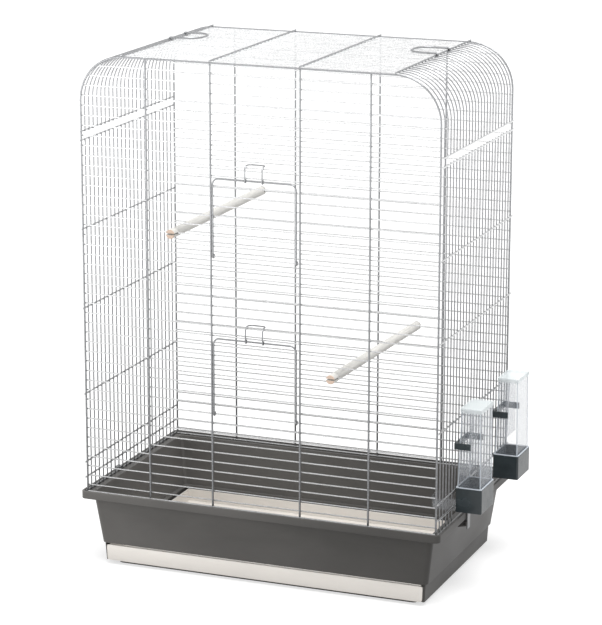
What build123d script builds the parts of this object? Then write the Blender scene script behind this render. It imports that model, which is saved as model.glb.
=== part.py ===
from build123d import *
import math
import os

# Wire diameters, as radii
BAR_R = 1.0
RAIL_R = 1.25
FRAME_R = 1.5
DOOR_R = 1.25
LATCH_WIRE_R = 1.0
HANDLE_R = 1.5
WELD_GAP = 0.02
RUNNING_GAP = 0.08
SEAT_GAP = 0.3

# Wire body, centrelines of the arched front and back frames, heights above the tray
FRAME_WIDTH = 560.0
FRAME_DEPTH = 332.0
ROOF_HEIGHT = 668.0
SHOULDER_R = 68.0
BAR_PITCH = 15.0
BAR_COUNT = 44
ARCH_GAPS = 24
OUTER_UPRIGHT_X = 175.0
BAND_BOTTOM_HEIGHT = 539.7
BAND_GAP = 13.3
SIDE_RAIL_HEIGHTS = (405.5, 284.0, 151.0)
FEEDER_RAIL_HEIGHT = 44.0
LOW_RAIL_HEIGHT = 20.0

# Tray
TRAY_HEIGHT = 120.0
RIM_PAST_SIDE = 8.3
RIM_PAST_FRONT = 9.5
RIM_SKIRT = 12.0
RIM_WALL = 3.6
RIM_PLATE = 3.0
REBATE_DEPTH = 3.5
RIM_LEDGE_SIDE = 13.8
RIM_LEDGE_FRONT = 13.0
TRAY_TOP_WALL = 3.0
TRAY_TAPER_SIDE = 11.0
TRAY_TAPER_FRONT = 7.8
TRAY_WALL = 2.5
STEP_LEVEL = 34.0
TRAY_CORNER_R = 8.0

# Drawer housing under the tray
HOUSING_INSET_SIDE = 3.5
HOUSING_INSET_FRONT = 1.4
HOUSING_LEDGE = 5.0
HOUSING_TAPER = 1.5
HOUSING_FLOOR = 2.5
PLINTH_HEIGHT = 6.2
PLINTH_FLOOR = 2.5
PLINTH_INSET_SIDE = 17.0
PLINTH_INSET_FRONT = 12.3

# Drawer
DRAWER_TOP = 31.0
DRAWER_WALL = 2.0
DRAWER_FRONT_WALL = 3.0
DRAWER_SIDE_GAP = 0.6
DRAWER_REAR_GAP = 2.0
DRAWER_CORNER_R = 4.0

# Doors
DOOR_WIDTH = 131.0
DOOR_HEIGHT = 116.0
DOOR_CENTRE_X = -4.0
DOOR_GAP_LEFT = 3.0
DOOR_GAP_RIGHT = 6.0
DOOR_CORNER_R = 9.0
UPPER_HINGE_BAR = 19
LOWER_HINGE_BAR = 35
DOOR_BARS = 7
LATCH_WIDTH = 27.0
LATCH_LEG = 17.5
LATCH_RISE = 22.2
LATCH_REACH = 10.0
LATCH_KNEE_R = 2.5
LATCH_CORNER_R = 6.0

# Carrying handles
HANDLE_LENGTH = 45.0
HANDLE_FRONT_GAP = 12
HANDLE_REAR_GAP = 16

# Perches
PERCH_DIAMETER = 14.0
PERCH_FRONT_PROUD = 11.0
PERCH_BACK_PROUD = 2.5
PERCH_SLOT_PAST_BAR = 4.0
PERCH_SLOT_CLEARANCE = 0.3
UPPER_PERCH_BAR = 17
LOWER_PERCH_BAR = 30
UPPER_PERCH_FRONT_X = -133.0
UPPER_PERCH_BACK_X = -130.0
LOWER_PERCH_FRONT_X = 119.0
LOWER_PERCH_BACK_X = 131.0

# Feeders outside the right panel
FEEDER_GAPS = (7, 20)
FEEDER_CUT_BARS = 4
FEEDER_WIDTH = 60.0
FEEDER_REACH = 40.5
FEEDER_HEIGHT = 37.0
FEEDER_ABOVE_RAIL = 4.0
FEEDER_WALL = 2.0
FEEDER_CORNER_R = 2.5
WINDOW_WIDTH = 46.0
WINDOW_HEIGHT = 15.0
DISH_WIDTH = 54.0
DISH_REACH = 43.0
DISH_HEIGHT = 15.0
DISH_WALL = 1.6
HOPPER_ABOVE_RAIL = 124.0
HOPPER_WALL = 1.5
HOPPER_LEAN = 4.5
HOPPER_OUTER_LEAN = 1.5
HOPPER_MOUTH = 12.0
DIVIDER_ABOVE_RAIL = 31.0
DIVIDER_SHARE = 16.0
LID_THICKNESS = 2.0
LID_SKIRT = 4.0
LID_WALL = 1.2
HOLDER_ABOVE_RAIL = 63.5
HOLDER_HEIGHT = 9.5
HOLDER_THICKNESS = 2.4
HOLDER_ARM = 25.0
LUG_WIDTH = 8.0
LUG_SPACING = 40.0

# Side latches that hold the wire body on the tray
LATCH_Y = -44.0
LATCH_PLATE_WIDTH = 12.0
LATCH_PLATE = 1.8
LATCH_PIVOT_DROP = 19.0
LATCH_PIVOT_INSET = 2.0
LATCH_PIN_R = 1.5
LATCH_BARREL_R = 3.6
LATCH_TONGUE = 7.0
LATCH_TAB = 9.0
EAR_THICKNESS = 3.0

# Places worked out from the sizes above
half_width = FRAME_WIDTH / 2
half_depth = FRAME_DEPTH / 2
roof_level = TRAY_HEIGHT + ROOF_HEIGHT
band_bottom = TRAY_HEIGHT + BAND_BOTTOM_HEIGHT
band_top = band_bottom + BAND_GAP
side_rail_levels = [TRAY_HEIGHT + height for height in SIDE_RAIL_HEIGHTS]
feeder_rail_level = TRAY_HEIGHT + FEEDER_RAIL_HEIGHT
low_rail_level = TRAY_HEIGHT + LOW_RAIL_HEIGHT
latch_pivot_level = TRAY_HEIGHT - LATCH_PIVOT_DROP
hopper_top = feeder_rail_level + HOPPER_ABOVE_RAIL
divider_bottom = feeder_rail_level + DIVIDER_ABOVE_RAIL
holder_level = feeder_rail_level + HOLDER_ABOVE_RAIL
rim_width = FRAME_WIDTH + 2 * RIM_PAST_SIDE
rim_depth = FRAME_DEPTH + 2 * RIM_PAST_FRONT
tray_top_width = rim_width - 2 * RIM_LEDGE_SIDE
tray_top_depth = rim_depth - 2 * RIM_LEDGE_FRONT
tray_low_width = tray_top_width - 2 * TRAY_TAPER_SIDE
tray_low_depth = tray_top_depth - 2 * TRAY_TAPER_FRONT
housing_top_width = tray_low_width - 2 * HOUSING_INSET_SIDE
housing_top_depth = tray_low_depth - 2 * HOUSING_INSET_FRONT
bar_front_y = -half_depth + FRAME_R + BAR_R + WELD_GAP
side_bar_x = half_width + FRAME_R - BAR_R
rail_x = half_width + FRAME_R + WELD_GAP + RAIL_R
sill_x = half_width + FRAME_R + WELD_GAP + FRAME_R
rebate_floor = TRAY_HEIGHT - REBATE_DEPTH
sill_level = rebate_floor + FRAME_R + WELD_GAP
sill_top = sill_level + FRAME_R
shoulder_level = roof_level - SHOULDER_R
shoulder_x = half_width - SHOULDER_R
arch_pitch = FRAME_DEPTH / ARCH_GAPS
roof_bar_level = roof_level + FRAME_R - BAR_R
roof_rail_level = roof_level + FRAME_R + WELD_GAP + RAIL_R
door_bay_left = DOOR_CENTRE_X - DOOR_WIDTH / 2 - DOOR_GAP_LEFT
door_bay_right = DOOR_CENTRE_X + DOOR_WIDTH / 2 + DOOR_GAP_RIGHT
upright_places = (-OUTER_UPRIGHT_X, door_bay_left, door_bay_right, OUTER_UPRIGHT_X)
arch_places = [-half_depth + arch_pitch * n for n in range(1, ARCH_GAPS)]
ring_r = BAR_R + RUNNING_GAP + DOOR_R
door_frame_y = bar_front_y - ring_r
latch_ring_r = DOOR_R + RUNNING_GAP + LATCH_WIRE_R
feeder_x = rail_x + RAIL_R + SEAT_GAP
feeder_top = feeder_rail_level + FEEDER_ABOVE_RAIL
feeder_bottom = feeder_top - FEEDER_HEIGHT
feeder_places = [-half_depth + arch_pitch * (n + 0.5) for n in FEEDER_GAPS]


def bar_level(number):
    """Height of a horizontal bar, counted down from the roof."""
    return roof_level - BAR_PITCH * number


def discs(plane, centres, radius):
    """One disc at each centre on a plane."""
    with BuildSketch(plane) as section:
        with Locations(*centres):
            Circle(radius)
    return section.sketch


def rods_along_x(centres, start, end, radius):
    """Straight wires along X, one for each (y, z)."""
    extrude(discs(Plane.YZ.offset(start), centres, radius), amount=end - start)


def rods_along_y(centres, start, end, radius):
    """Straight wires along Y, one for each (x, z)."""
    plane = Plane(origin=(0, start, 0), x_dir=(1, 0, 0), z_dir=(0, -1, 0))
    extrude(discs(plane, centres, radius), amount=start - end)


def rods_along_z(centres, start, end, radius):
    """Straight wires along Z, one for each (x, y)."""
    extrude(discs(Plane.XY.offset(start), centres, radius), amount=end - start)


def bend_wire(path, radius):
    """A round wire swept along a path."""
    start = Plane(origin=path @ 0, z_dir=path % 0)
    sweep(discs(start, [(0, 0)], radius), path=path)


def curl(x, centre_y, centre_z, radius, angles):
    """Arc of a wire curled round a bar along X, through three angles."""
    points = []
    for angle in angles:
        turn = math.radians(angle)
        points.append((x, centre_y + radius * math.cos(turn), centre_z + radius * math.sin(turn)))
    return ThreePointArc(*points)


def bar_half_length(level):
    """Half the length of a front or back bar, shorter where the frame is rounded."""
    if level <= shoulder_level:
        return half_width
    return shoulder_x + math.sqrt(SHOULDER_R**2 - (level - shoulder_level) ** 2)


def arch_frame(y):
    """Outline wire of the front or back panel, from sill to sill over the roof."""
    with BuildPart() as frame:
        with BuildLine() as outline:
            FilletPolyline(
                (-half_width, y, sill_top + WELD_GAP),
                (-half_width, y, roof_level),
                (half_width, y, roof_level),
                (half_width, y, sill_top + WELD_GAP),
                radius=SHOULDER_R,
            )
        bend_wire(outline.wire(), FRAME_R)
    return frame


def uprights(y):
    """The four upright wires of the front or back panel."""
    with BuildPart() as wires:
        centres = [(x, y) for x in upright_places]
        rods_along_z(centres, sill_top + WELD_GAP, roof_level - FRAME_R - WELD_GAP, FRAME_R)
    return wires


def sill(y):
    """Bottom wire of the front or back panel."""
    with BuildPart() as wire:
        rods_along_x([(y, sill_level)], -half_width, half_width, FRAME_R)
    return wire


def panel_bars(y, door_bars):
    """Horizontal bars of a panel; those at a door are left out of the door bay."""
    whole = [n for n in range(1, BAR_COUNT + 1) if n not in door_bars]
    with BuildPart() as bars:
        straight = [(y, bar_level(n)) for n in whole if bar_level(n) <= shoulder_level]
        rods_along_x(straight, -half_width, half_width, BAR_R)
        for n in whole:
            if bar_level(n) > shoulder_level:
                reach = bar_half_length(bar_level(n))
                rods_along_x([(y, bar_level(n))], -reach, reach, BAR_R)
        if door_bars:
            short = [(y, bar_level(n)) for n in door_bars]
            rods_along_x(short, -half_width, door_bay_left, BAR_R)
            rods_along_x(short, door_bay_right, half_width, BAR_R)
    return bars


def side_rails(side, open_bays):
    """Rails along Y on a side panel; the low rail is left out of the open bays."""
    with BuildPart() as rails:
        reach = half_depth + FRAME_R
        levels = (band_top, band_bottom, *side_rail_levels, feeder_rail_level)
        rods_along_y([(side * rail_x, level) for level in levels], -reach, reach, RAIL_R)
        start = -reach
        for bay in open_bays:
            rods_along_y([(side * rail_x, low_rail_level)], start, bay[0], RAIL_R)
            start = bay[1]
        rods_along_y([(side * rail_x, low_rail_level)], start, reach, RAIL_R)
        rods_along_y([(side * sill_x, sill_level)], -half_depth, half_depth, FRAME_R)
    return rails


def side_bars(side, cut_places):
    """Upright bars of a side panel; those at a feeder stop at the feeder rail."""
    with BuildPart() as bars:
        long_bars = [(side * side_bar_x, y) for y in arch_places if y not in cut_places]
        rods_along_z(long_bars, rebate_floor + SEAT_GAP, band_bottom + RAIL_R, BAR_R)
        if cut_places:
            short_bars = [(side * side_bar_x, y) for y in cut_places]
            rods_along_z(short_bars, feeder_rail_level - RAIL_R, band_bottom + RAIL_R, BAR_R)
    return bars


def shoulder_bars(side):
    """Bent ends of the roof bars: a quarter turn and a short leg at each one."""
    radius = SHOULDER_R + FRAME_R - BAR_R
    middle = radius * math.sqrt(0.5)
    with BuildPart() as bars:
        for y in arch_places:
            with BuildLine() as outline:
                foot = (side * side_bar_x, y, band_top - RAIL_R)
                bend_start = (side * side_bar_x, y, shoulder_level)
                bend_middle = (side * (shoulder_x + middle), y, shoulder_level + middle)
                bend_end = (side * shoulder_x, y, roof_bar_level)
                Line(foot, bend_start)
                ThreePointArc(bend_start, bend_middle, bend_end)
            bend_wire(outline.wire(), BAR_R)
    return bars


def door_frame(hinge_level):
    """Inverted U of a flap door, with both ends curled round the hinge bar."""
    left = DOOR_CENTRE_X - DOOR_WIDTH / 2
    right = DOOR_CENTRE_X + DOOR_WIDTH / 2
    top = hinge_level + DOOR_HEIGHT
    with BuildPart() as frame:
        with BuildLine() as outline:
            curl(left, bar_front_y, hinge_level, ring_r, (70, -55, -180))
            FilletPolyline(
                (left, door_frame_y, hinge_level),
                (left, door_frame_y, top),
                (right, door_frame_y, top),
                (right, door_frame_y, hinge_level),
                radius=DOOR_CORNER_R,
            )
            curl(right, bar_front_y, hinge_level, ring_r, (-180, -55, 70))
        bend_wire(outline.wire(), DOOR_R)
    return frame


def door_bars(hinge_level):
    """Bars of a flap door, in line with the bars beside it."""
    start = DOOR_CENTRE_X - DOOR_WIDTH / 2 - BAR_R
    end = DOOR_CENTRE_X + DOOR_WIDTH / 2 + BAR_R
    y = door_frame_y + DOOR_R + WELD_GAP + BAR_R
    with BuildPart() as bars:
        centres = [(y, hinge_level + BAR_PITCH * n) for n in range(1, DOOR_BARS + 1)]
        rods_along_x(centres, start, end, BAR_R)
    return bars


def door_latch(hinge_level):
    """Wire loop on the top of a door that hooks over the bar above it."""
    left = DOOR_CENTRE_X - LATCH_WIDTH / 2
    right = DOOR_CENTRE_X + LATCH_WIDTH / 2
    pivot = hinge_level + DOOR_HEIGHT
    leg_y = door_frame_y - latch_ring_r
    knee = pivot + LATCH_LEG
    hook = pivot + LATCH_RISE
    hook_y = leg_y + LATCH_RISE - LATCH_LEG
    end_y = hook_y + LATCH_REACH
    with BuildPart() as loop:
        with BuildLine() as outline:
            curl(left, door_frame_y, pivot, latch_ring_r, (70, -55, -180))
            FilletPolyline(
                (left, leg_y, pivot),
                (left, leg_y, knee),
                (left, hook_y, hook),
                (left, end_y, hook),
                (right, end_y, hook),
                (right, hook_y, hook),
                (right, leg_y, knee),
                (right, leg_y, pivot),
                radius=(LATCH_KNEE_R, LATCH_KNEE_R, LATCH_CORNER_R, LATCH_CORNER_R, LATCH_KNEE_R, LATCH_KNEE_R),
            )
            curl(right, door_frame_y, pivot, latch_ring_r, (-180, -55, 70))
        bend_wire(outline.wire(), LATCH_WIRE_R)
    return loop


def handle(side):
    """Carrying loop folded flat on the roof, its feet curled round the shoulder rail."""
    radius = RAIL_R + RUNNING_GAP + HANDLE_R
    level = roof_rail_level + radius
    front = -half_depth + arch_pitch * (HANDLE_FRONT_GAP + 0.5)
    rear = -half_depth + arch_pitch * (HANDLE_REAR_GAP + 0.5)
    tip = side * (shoulder_x - HANDLE_LENGTH)

    def foot(y, angles):
        points = []
        for angle in angles:
            turn = math.radians(angle)
            across = side * (shoulder_x + radius * math.cos(turn))
            points.append((across, y, roof_rail_level + radius * math.sin(turn)))
        return ThreePointArc(*points)

    with BuildPart() as loop:
        with BuildLine() as outline:
            foot(front, (200, 325, 90 + 360))
            FilletPolyline(
                (side * shoulder_x, front, level),
                (tip, front, level),
                (tip, rear, level),
                (side * shoulder_x, rear, level),
                radius=(rear - front) * 0.42,
            )
            foot(rear, (90 + 360, 325, 200))
        bend_wire(outline.wire(), HANDLE_R)
    return loop


def perch(bar_number, front_x, back_x):
    """Dowel from front to back, with a slot at each end that sits on a bar."""
    front_y = -half_depth - PERCH_FRONT_PROUD
    back_y = half_depth + PERCH_BACK_PROUD
    skew = math.atan2(back_x - front_x, back_y - front_y)
    length = (back_y - front_y) / math.cos(skew)
    slot = 2 * (BAR_R + PERCH_SLOT_CLEARANCE)
    start = Plane(
        origin=(front_x, front_y, bar_level(bar_number)),
        x_dir=(math.cos(skew), -math.sin(skew), 0),
        z_dir=(math.sin(skew), math.cos(skew), 0),
    )
    with BuildPart() as dowel:
        with BuildSketch(start):
            Circle(PERCH_DIAMETER / 2)
        extrude(amount=length)
        chamfer(dowel.faces().filter_by(GeomType.PLANE).edges(), length=0.6)
        with BuildSketch(start):
            Rectangle(PERCH_DIAMETER * 1.2, slot)
        extrude(amount=bar_front_y - front_y + PERCH_SLOT_PAST_BAR, mode=Mode.SUBTRACT)
        with BuildSketch(start.offset(length)):
            Rectangle(PERCH_DIAMETER * 1.2, slot)
        extrude(amount=-(back_y + bar_front_y + PERCH_SLOT_PAST_BAR), mode=Mode.SUBTRACT)
    return dowel


def box_loft(lower, upper, mode=Mode.ADD):
    """Tapered block between two rounded rectangles, each (level, width, depth, radius)."""
    faces = []
    for level, width, depth, radius in (lower, upper):
        with BuildSketch(Plane.XY.offset(level)) as outline:
            RectangleRounded(width, depth, radius)
        faces.append(outline.sketch)
    loft(faces, mode=mode)


def width_at(level, low, high, low_size, high_size):
    """Size on a straight taper between two levels."""
    return low_size + (high_size - low_size) * (level - low) / (high - low)


# Tapered basin with an overhanging rim and a rebate for the wire body
skirt_level = TRAY_HEIGHT - RIM_SKIRT
plate_bottom = rebate_floor - RIM_PLATE
rim_inner = (tray_top_width - 2 * TRAY_TOP_WALL, tray_top_depth - 2 * TRAY_TOP_WALL)
with BuildPart() as tray_basin:
    box_loft(
        (STEP_LEVEL, tray_low_width, tray_low_depth, TRAY_CORNER_R),
        (plate_bottom, tray_top_width, tray_top_depth, TRAY_CORNER_R),
    )
    with BuildSketch(Plane.XY.offset(plate_bottom)):
        RectangleRounded(rim_width, rim_depth, TRAY_CORNER_R)
    extrude(amount=RIM_PLATE)
    with BuildSketch(Plane.XY.offset(skirt_level)):
        RectangleRounded(rim_width, rim_depth, TRAY_CORNER_R)
        offset(amount=-RIM_WALL, kind=Kind.ARC, mode=Mode.SUBTRACT)
    extrude(amount=RIM_SKIRT)
    rim_edges = tray_basin.faces().sort_by(Axis.Z)[-1].edges()
    fillet(rim_edges, radius=RIM_WALL * 0.3)
    box_loft(
        (STEP_LEVEL, tray_low_width - 2 * TRAY_WALL, tray_low_depth - 2 * TRAY_WALL, TRAY_CORNER_R - TRAY_WALL),
        (rebate_floor, *rim_inner, TRAY_CORNER_R - TRAY_WALL),
        mode=Mode.SUBTRACT,
    )
    with BuildSketch(Plane.XY.offset(STEP_LEVEL)):
        RectangleRounded(tray_low_width, tray_low_depth, TRAY_CORNER_R)
        RectangleRounded(
            housing_top_width - 2 * HOUSING_LEDGE,
            housing_top_depth - 2 * HOUSING_LEDGE,
            TRAY_CORNER_R - TRAY_WALL,
            mode=Mode.SUBTRACT,
        )
    extrude(amount=TRAY_WALL)
    # Ears under the rim that carry the side latches
    ear_x = rim_width / 2 - LATCH_PIVOT_INSET
    ear_y = LATCH_PLATE_WIDTH / 2 + SEAT_GAP + EAR_THICKNESS / 2
    outer_width = width_at(latch_pivot_level, STEP_LEVEL, plate_bottom, tray_low_width, tray_top_width)
    wall_x = outer_width / 2 - TRAY_WALL / 2
    for side in (-1, 1):
        for y in (LATCH_Y - ear_y, LATCH_Y + ear_y):
            with BuildSketch(Plane(origin=(0, y + EAR_THICKNESS / 2, 0), x_dir=(1, 0, 0), z_dir=(0, -1, 0))):
                with BuildLine():
                    Polyline(
                        (side * wall_x, latch_pivot_level - LATCH_BARREL_R * 2),
                        (side * (ear_x + LATCH_BARREL_R), latch_pivot_level - LATCH_BARREL_R),
                        (side * (ear_x + LATCH_BARREL_R), latch_pivot_level + LATCH_BARREL_R),
                        (side * wall_x, latch_pivot_level + LATCH_BARREL_R),
                        close=True,
                    )
                make_face()
                with Locations((side * ear_x, latch_pivot_level)):
                    Circle(LATCH_PIN_R, mode=Mode.SUBTRACT)
            extrude(amount=EAR_THICKNESS)

# Drawer housing: side and rear walls, floor and plinth
floor_top = PLINTH_HEIGHT + HOUSING_FLOOR
housing_low_width = housing_top_width - 2 * HOUSING_TAPER
housing_low_depth = housing_top_depth - 2 * HOUSING_TAPER
plinth_width = housing_top_width - 2 * PLINTH_INSET_SIDE
plinth_depth = housing_top_depth - 2 * PLINTH_INSET_FRONT
with BuildPart() as tray_base:
    box_loft(
        (PLINTH_HEIGHT, housing_low_width, housing_low_depth, DRAWER_CORNER_R),
        (STEP_LEVEL, housing_top_width, housing_top_depth, DRAWER_CORNER_R),
    )
    with BuildSketch(Plane.XY):
        RectangleRounded(plinth_width, plinth_depth, TRAY_CORNER_R)
    extrude(amount=PLINTH_HEIGHT)
    with BuildSketch(Plane.XY.offset(PLINTH_FLOOR)):
        RectangleRounded(
            plinth_width - 2 * TRAY_WALL,
            plinth_depth - 2 * TRAY_WALL,
            TRAY_CORNER_R - TRAY_WALL,
        )
    extrude(amount=floor_top - PLINTH_FLOOR, mode=Mode.SUBTRACT)
    cavity_low = (housing_low_width - 2 * TRAY_WALL, housing_low_depth - 2 * TRAY_WALL)
    cavity_top = (housing_top_width - 2 * TRAY_WALL, housing_top_depth - 2 * TRAY_WALL)
    box_loft(
        (floor_top, *cavity_low, DRAWER_CORNER_R - TRAY_WALL),
        (STEP_LEVEL, *cavity_top, DRAWER_CORNER_R - TRAY_WALL),
        mode=Mode.SUBTRACT,
    )
    # Drawer mouth through the front wall
    with BuildSketch(Plane.XZ.offset(housing_top_depth / 2 + TRAY_WALL)):
        with BuildLine():
            Polyline(
                (-cavity_low[0] / 2, floor_top),
                (cavity_low[0] / 2, floor_top),
                (cavity_top[0] / 2, STEP_LEVEL),
                (-cavity_top[0] / 2, STEP_LEVEL),
                close=True,
            )
        make_face()
    extrude(amount=-4 * TRAY_WALL, mode=Mode.SUBTRACT)
    with BuildSketch(Plane.XZ.offset(housing_top_depth / 2 + TRAY_WALL)):
        with Locations((0, PLINTH_HEIGHT + HOUSING_FLOOR / 2)):
            Rectangle(cavity_low[0], HOUSING_FLOOR)
    extrude(amount=-(TRAY_WALL + DRAWER_FRONT_WALL + SEAT_GAP), mode=Mode.SUBTRACT)

# Pull-out drawer
drawer_bottom = floor_top + SEAT_GAP
front_bottom = PLINTH_HEIGHT + SEAT_GAP
drawer_front_y = -housing_top_depth / 2
drawer_rear_y = housing_top_depth / 2 - HOUSING_TAPER - TRAY_WALL - DRAWER_REAR_GAP
drawer_low = cavity_low[0] - 2 * DRAWER_SIDE_GAP
drawer_high = (
    width_at(DRAWER_TOP, floor_top, STEP_LEVEL, cavity_low[0], cavity_top[0]) - 2 * DRAWER_SIDE_GAP
)
with BuildPart() as drawer:
    with BuildSketch(Plane.XZ.offset(-drawer_front_y)) as drawer_face:
        with BuildLine():
            Polyline(
                (-drawer_low / 2, front_bottom),
                (drawer_low / 2, front_bottom),
                (drawer_high / 2, DRAWER_TOP),
                (-drawer_high / 2, DRAWER_TOP),
                close=True,
            )
        make_face()
        fillet(drawer_face.vertices().group_by(Axis.Y)[-1], radius=DRAWER_CORNER_R)
    extrude(amount=-DRAWER_FRONT_WALL)
    pan_depth = drawer_rear_y - drawer_front_y - DRAWER_FRONT_WALL
    pan_width = drawer_low - 2 * DRAWER_WALL
    pan_y = drawer_front_y + DRAWER_FRONT_WALL + pan_depth / 2
    with BuildSketch(Plane.XY.offset(drawer_bottom)):
        with Locations((0, pan_y)):
            Rectangle(pan_width, pan_depth)
    extrude(amount=DRAWER_TOP - drawer_bottom)
    with BuildSketch(Plane.XY.offset(drawer_bottom + DRAWER_WALL)):
        with Locations((0, pan_y - DRAWER_WALL / 2)):
            Rectangle(pan_width - 2 * DRAWER_WALL, pan_depth - DRAWER_WALL)
    extrude(amount=DRAWER_TOP - drawer_bottom, mode=Mode.SUBTRACT)

# Wire body
upper_door_bars = [UPPER_HINGE_BAR - n for n in range(1, DOOR_BARS + 1)]
lower_door_bars = [LOWER_HINGE_BAR - n for n in range(1, DOOR_BARS + 1)]
front_frame = arch_frame(-half_depth)
back_frame = arch_frame(half_depth)
front_uprights = uprights(-half_depth)
back_uprights = uprights(half_depth)
front_sill = sill(-half_depth)
back_sill = sill(half_depth)
front_bars = panel_bars(bar_front_y, upper_door_bars + lower_door_bars)
back_bars = panel_bars(-bar_front_y, [])

feeder_bays = []
feeder_cut_places = []
for gap in FEEDER_GAPS:
    first = gap + 1 - FEEDER_CUT_BARS // 2
    last = first + FEEDER_CUT_BARS - 1
    feeder_cut_places += arch_places[first - 1 : last]
    feeder_bays.append((arch_places[first - 2] + BAR_R, arch_places[last] - BAR_R))
left_rails = side_rails(-1, [])
right_rails = side_rails(1, feeder_bays)
left_bars = side_bars(-1, [])
right_bars = side_bars(1, feeder_cut_places)
left_shoulder_bars = shoulder_bars(-1)
right_shoulder_bars = shoulder_bars(1)

with BuildPart() as roof_bars:
    rods_along_x(
        [(y, roof_bar_level) for y in arch_places],
        -shoulder_x + WELD_GAP,
        shoulder_x - WELD_GAP,
        BAR_R,
    )

with BuildPart() as roof_rails:
    rail_places = (-shoulder_x, door_bay_left, door_bay_right, shoulder_x)
    rail_reach = half_depth + FRAME_R
    rods_along_y([(x, roof_rail_level) for x in rail_places], -rail_reach, rail_reach, RAIL_R)

# Doors, latches and handles
upper_hinge = bar_level(UPPER_HINGE_BAR)
lower_hinge = bar_level(LOWER_HINGE_BAR)
upper_door_frame = door_frame(upper_hinge)
lower_door_frame = door_frame(lower_hinge)
upper_door_rungs = door_bars(upper_hinge)
lower_door_rungs = door_bars(lower_hinge)
upper_door_latch = door_latch(upper_hinge)
lower_door_latch = door_latch(lower_hinge)
left_handle = handle(-1)
right_handle = handle(1)
upper_perch = perch(UPPER_PERCH_BAR, UPPER_PERCH_FRONT_X, UPPER_PERCH_BACK_X)
lower_perch = perch(LOWER_PERCH_BAR, LOWER_PERCH_FRONT_X, LOWER_PERCH_BACK_X)


def side_latch(side):
    """Swinging latch whose tongue reaches over the rim and the side sill."""
    skirt_x = rim_width / 2 + SEAT_GAP
    over = TRAY_HEIGHT + SEAT_GAP
    rear = LATCH_Y + LATCH_PLATE_WIDTH / 2
    with BuildPart() as latch:
        with BuildSketch(Plane(origin=(0, rear, 0), x_dir=(1, 0, 0), z_dir=(0, -1, 0))):
            with BuildLine():
                Polyline(
                    (side * skirt_x, latch_pivot_level - LATCH_TAB),
                    (side * (skirt_x + LATCH_PLATE), latch_pivot_level - LATCH_TAB),
                    (side * (skirt_x + LATCH_PLATE), over + LATCH_PLATE * 0.8),
                    (side * (skirt_x - LATCH_TONGUE), over + LATCH_PLATE * 0.8),
                    (side * (skirt_x - LATCH_TONGUE), over),
                    (side * skirt_x, over),
                    close=True,
                )
            make_face()
            with Locations((side * ear_x, latch_pivot_level)):
                Circle(LATCH_BARREL_R)
                Circle(LATCH_PIN_R + RUNNING_GAP, mode=Mode.SUBTRACT)
        extrude(amount=LATCH_PLATE_WIDTH)
    return latch


left_latch = side_latch(-1)
right_latch = side_latch(1)

with BuildPart() as latch_pins:
    pin_reach = LATCH_PLATE_WIDTH / 2 + SEAT_GAP + EAR_THICKNESS
    rods_along_y(
        [(-ear_x, latch_pivot_level), (ear_x, latch_pivot_level)],
        LATCH_Y - pin_reach,
        LATCH_Y + pin_reach,
        LATCH_PIN_R - WELD_GAP,
    )


def feeder_cup(y):
    """Open cup outside the panel, with a window to the dish and lugs on the rail."""
    middle_x = feeder_x + FEEDER_REACH / 2
    with BuildPart() as cup:
        with BuildSketch(Plane.XY.offset(feeder_bottom)):
            with Locations((middle_x, y)):
                RectangleRounded(FEEDER_REACH, FEEDER_WIDTH, FEEDER_CORNER_R)
        extrude(amount=FEEDER_HEIGHT)
        fillet(cup.faces().sort_by(Axis.Z)[0].edges(), radius=FEEDER_CORNER_R * 0.6)
        with BuildSketch(Plane.XY.offset(feeder_bottom + FEEDER_WALL)):
            with Locations((middle_x, y)):
                RectangleRounded(
                    FEEDER_REACH - 2 * FEEDER_WALL,
                    FEEDER_WIDTH - 2 * FEEDER_WALL,
                    FEEDER_CORNER_R * 0.4,
                )
        extrude(amount=FEEDER_HEIGHT, mode=Mode.SUBTRACT)
        window_middle = feeder_bottom + FEEDER_WALL + WINDOW_HEIGHT / 2
        with BuildSketch(Plane.YZ.offset(feeder_x - FEEDER_WALL)):
            with Locations((y, window_middle)):
                Rectangle(WINDOW_WIDTH, WINDOW_HEIGHT)
        extrude(amount=FEEDER_WALL * 2.5, mode=Mode.SUBTRACT)
        lug_low = feeder_rail_level + RAIL_R + SEAT_GAP
        with BuildSketch(Plane.XY.offset(lug_low)):
            with Locations(*[(rail_x + RAIL_R / 2, y + lug) for lug in (-LUG_SPACING / 2, LUG_SPACING / 2)]):
                Rectangle(feeder_x - rail_x + RAIL_R, LUG_WIDTH)
        extrude(amount=feeder_top - lug_low)
    return cup


def feeder_dish(y):
    """Half-round dish inside the panel, fed through the window of the cup."""
    side = feeder_x - SEAT_GAP
    with BuildPart() as dish:
        with BuildSketch(Plane.XY.offset(feeder_bottom)):
            with BuildLine():
                dish_line(side, y, DISH_WIDTH / 2, DISH_REACH)
            make_face()
        extrude(amount=DISH_HEIGHT)
        with BuildSketch(Plane.XY.offset(feeder_bottom + DISH_WALL)):
            with BuildLine():
                dish_line(side + DISH_WALL, y, DISH_WIDTH / 2 - DISH_WALL, DISH_REACH)
            make_face()
        extrude(amount=DISH_HEIGHT, mode=Mode.SUBTRACT)
    return dish


def dish_line(side, y, half, reach):
    """D-shaped outline: a straight side at the panel and rounded corners inside."""
    corner = half * 0.8
    tip = side - reach
    bend = corner * math.sqrt(0.5)
    Line((tip + corner, y - half), (side, y - half))
    Line((side, y - half), (side, y + half))
    Line((side, y + half), (tip + corner, y + half))
    ThreePointArc(
        (tip + corner, y + half),
        (tip + corner - bend, y + half - corner + bend),
        (tip, y + half - corner),
    )
    Line((tip, y + half - corner), (tip, y - half + corner))
    ThreePointArc(
        (tip, y - half + corner),
        (tip + corner - bend, y - half + corner - bend),
        (tip + corner, y - half),
    )


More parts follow.
